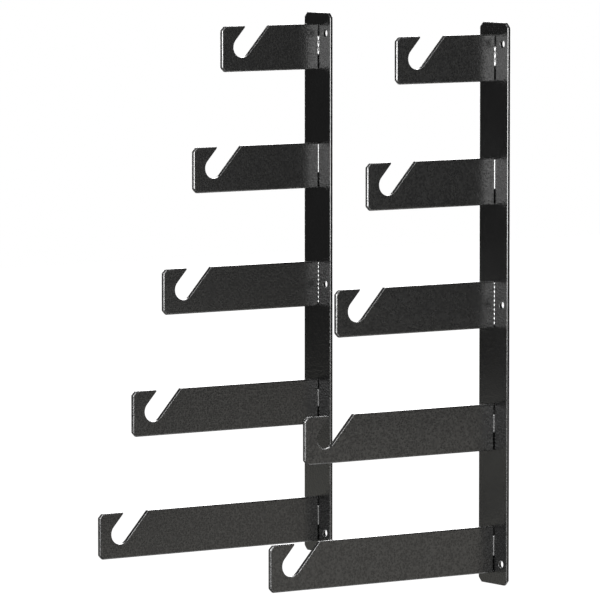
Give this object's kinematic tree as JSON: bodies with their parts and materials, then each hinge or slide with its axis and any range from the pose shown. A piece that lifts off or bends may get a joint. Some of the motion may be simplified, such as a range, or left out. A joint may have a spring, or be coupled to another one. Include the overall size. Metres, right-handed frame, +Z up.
{
  "type": "wall cue rack",
  "caption": "Wall rack made of a pair of upright steel plates with stepped flat arms, each arm slotted near its tip to hold a cue, bar or roll across the pair.",
  "frame": {"origin": "on the wall plane, midway between the two brackets and at half their height, which is the centre of the four outermost screw holes", "axes": "+X along the wall, +Y into the wall, +Z up; the arms point along -Y"},
  "size_m": [0.3, 0.235, 0.48],
  "materials": {
    "plate_paint": "black hammertone powder coat, satin",
    "arm_paint": "black hammertone powder coat, satin",
    "weld_paint": "powder coat over rippled weld beads, glossy"
  },
  "bodies": {
    "root": {"left_wall_plate": "plate_paint", "left_arm_1": "arm_paint", "left_arm_2": "arm_paint", "left_arm_3": "arm_paint", "left_arm_4": "arm_paint", "left_arm_5": "arm_paint", "left_weld_1": "weld_paint", "left_weld_2": "weld_paint", "left_weld_3": "weld_paint", "left_weld_4": "weld_paint", "left_weld_5": "weld_paint", "right_wall_plate": "plate_paint", "right_arm_1": "arm_paint", "right_arm_2": "arm_paint", "right_arm_3": "arm_paint", "right_arm_4": "arm_paint", "right_arm_5": "arm_paint", "right_weld_1": "weld_paint", "right_weld_2": "weld_paint", "right_weld_3": "weld_paint", "right_weld_4": "weld_paint", "right_weld_5": "weld_paint"}
  },
  "joints": []
}
